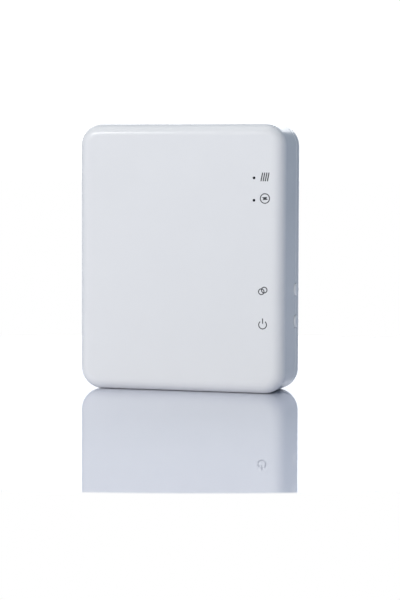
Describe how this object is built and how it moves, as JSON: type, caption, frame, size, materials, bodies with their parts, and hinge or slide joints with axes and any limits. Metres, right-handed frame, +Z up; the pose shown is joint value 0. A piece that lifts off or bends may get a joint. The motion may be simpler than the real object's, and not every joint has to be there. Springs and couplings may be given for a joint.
{
  "type": "mobile hotspot",
  "caption": "Palm-sized glossy white pocket router with round-cornered slab case, two side buttons, lamp pinpoints, pull-off back cover, removable battery, SIM card and USB socket.",
  "frame": {"origin": "middle of the base it stands on, halfway between the front and back faces", "axes": "+X towards the side with the two buttons, +Y from the front face to the back cover, +Z up along the long side of the case"},
  "size_m": [0.066, 0.022, 0.082],
  "materials": {
    "front_shell": "gloss",
    "rear_shell": "gloss",
    "button_cap": "gloss",
    "print_ink": "matte",
    "smoked_pipe": "gloss",
    "black_rubber": "matte",
    "foam": "matte",
    "screw_steel": "satin",
    "cell_can": "satin",
    "battery_plastic": "matte",
    "label_film": "satin",
    "gold_contact": "polished",
    "black_plastic": "matte",
    "plunger_plastic": "satin",
    "circuit_board": "satin",
    "shield_sheet": "satin",
    "chip_package": "matte",
    "wound_ferrite": "matte",
    "capacitor_ceramic": "satin",
    "lamp_lens": "gloss",
    "thermal_silicone": "matte",
    "carrier_plastic": "matte",
    "antenna_foil": "satin",
    "holder_sheet": "satin",
    "card_plastic": "satin"
  },
  "bodies": {
    "case": {"front_cover": "front_shell", "rear_housing": "rear_shell", "signal_mark": "print_ink", "battery_mark": "print_ink", "link_mark": "print_ink", "power_mark": "print_ink", "signal_light_pipe": "smoked_pipe", "battery_light_pipe": "smoked_pipe", "light_shroud": "black_rubber", "case_screws": "screw_steel", "board_screws": "screw_steel", "battery_springs": "gold_contact", "usb_contacts": "gold_contact", "battery_connector": "black_plastic", "usb_tongue": "black_plastic", "power_switch": "black_plastic", "link_switch": "black_plastic", "reset_switch": "black_plastic", "main_board": "circuit_board", "key_board": "circuit_board", "modem_shield": "shield_sheet", "wifi_shield": "shield_sheet", "usb_shell": "shield_sheet", "antenna_clips": "shield_sheet", "modem_processor": "chip_package", "memory_chip": "chip_package", "radio_transceiver": "chip_package", "power_amplifier": "chip_package", "wifi_chip": "chip_package", "power_chip": "chip_package", "power_inductors": "wound_ferrite", "board_capacitors": "capacitor_ceramic", "signal_lamp": "lamp_lens", "battery_lamp": "lamp_lens", "thermal_pad": "thermal_silicone", "upper_antenna_carrier": "carrier_plastic", "lower_antenna_carrier": "carrier_plastic", "main_antenna": "antenna_foil", "wifi_antenna": "antenna_foil", "diversity_antenna": "antenna_foil", "sim_holder": "holder_sheet"},
    "power_button": {"power_button": "button_cap", "power_plunger": "plunger_plastic"},
    "link_button": {"link_button": "button_cap", "link_plunger": "plunger_plastic"},
    "reset_plunger": {"reset_plunger": "plunger_plastic"},
    "battery_cover": {"battery_cover": "rear_shell", "cover_pad": "foam"},
    "battery": {"battery_pack": "cell_can", "battery_end_cap": "battery_plastic", "battery_label": "label_film", "battery_pads": "gold_contact"},
    "sim_card": {"sim_card": "card_plastic"}
  },
  "joints": [
    {"name": "power_press", "type": "slide", "parent": "case", "child": "power_button", "axis": [-1, 0, 0], "range_m": [0, 0.0003], "stiffness_N_per_m": 5000},
    {"name": "link_press", "type": "slide", "parent": "case", "child": "link_button", "axis": [-1, 0, 0], "range_m": [0, 0.0003], "stiffness_N_per_m": 5000},
    {"name": "reset_press", "type": "slide", "parent": "case", "child": "reset_plunger", "axis": [1, 0, 0], "range_m": [0, 0.00025], "stiffness_N_per_m": 5000},
    {"name": "cover_pull", "type": "slide", "parent": "case", "child": "battery_cover", "axis": [0, 1, 0], "range_m": [0, 0.04]},
    {"name": "battery_lift", "type": "slide", "parent": "case", "child": "battery", "axis": [0, 1, 0], "range_m": [0, 0.02]},
    {"name": "sim_slide", "type": "slide", "parent": "case", "child": "sim_card", "axis": [0, 0, 1], "range_m": [0, 0.018]}
  ],
  "couplings": [
    {"joint": "battery_lift", "follows": "cover_pull", "ratio": 0.5}
  ]
}
